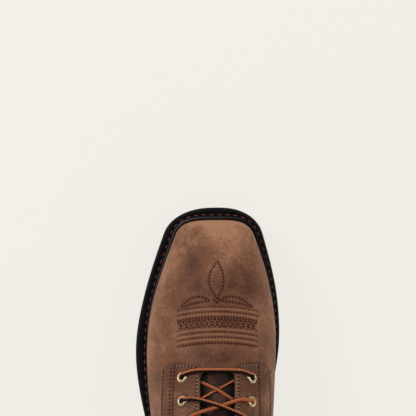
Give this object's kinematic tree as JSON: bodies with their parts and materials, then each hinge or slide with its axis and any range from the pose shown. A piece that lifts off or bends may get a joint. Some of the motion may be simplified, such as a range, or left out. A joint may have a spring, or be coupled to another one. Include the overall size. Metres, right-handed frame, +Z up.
{
  "type": "work boot",
  "caption": "Left lace-up leather work boot with a square toe, stitched cords on the vamp, padded collar, brass eyelets, two-colour lace and a welted rubber sole",
  "frame": {"origin": "on the floor, on the flat bottom of the heel, under the middle plane of the last", "axes": "+X to the inner (medial) side of the foot, +Y to the toe, +Z up"},
  "size_m": [0.1152, 0.312, 0.253],
  "materials": {
    "rubber": "black moulded rubber, satin",
    "leather": "waxed brown nubuck, worn lighter on edges",
    "dark_leather": "dark brown soft leather",
    "lining": "dark brown woven lining",
    "footbed": "dark textile over foam",
    "brass": "pale antique brass",
    "lace": "round braided lace, rust orange and black",
    "thread": "waxed thread, rust and brown"
  },
  "bodies": {
    "root": {"outsole": "rubber", "heel": "rubber", "midsole": "rubber", "welt": "rubber", "insole": "footbed", "upper": "leather", "tongue": "dark_leather", "eyestay_lateral": "leather", "eyestay_medial": "leather", "counter": "leather", "backstay": "leather", "collar": "dark_leather", "lace_bar": "lace", "eyelet_lateral_1": "brass", "eyelet_medial_1": "brass", "eyelet_lateral_2": "brass", "eyelet_medial_2": "brass", "eyelet_lateral_3": "brass", "eyelet_medial_3": "brass", "eyelet_lateral_4": "brass", "eyelet_medial_4": "brass", "eyelet_lateral_5": "brass", "eyelet_medial_5": "brass", "eyelet_lateral_6": "brass", "eyelet_medial_6": "brass", "eyelet_lateral_7": "brass", "eyelet_medial_7": "brass", "eyelet_lateral_8": "brass", "eyelet_medial_8": "brass", "lace_cross_1": "lace", "lace_cross_2": "lace", "lace_cross_3": "lace", "lace_cross_4": "lace", "lace_cross_5": "lace", "lace_cross_6": "lace", "lace_cross_7": "lace"}
  },
  "joints": []
}
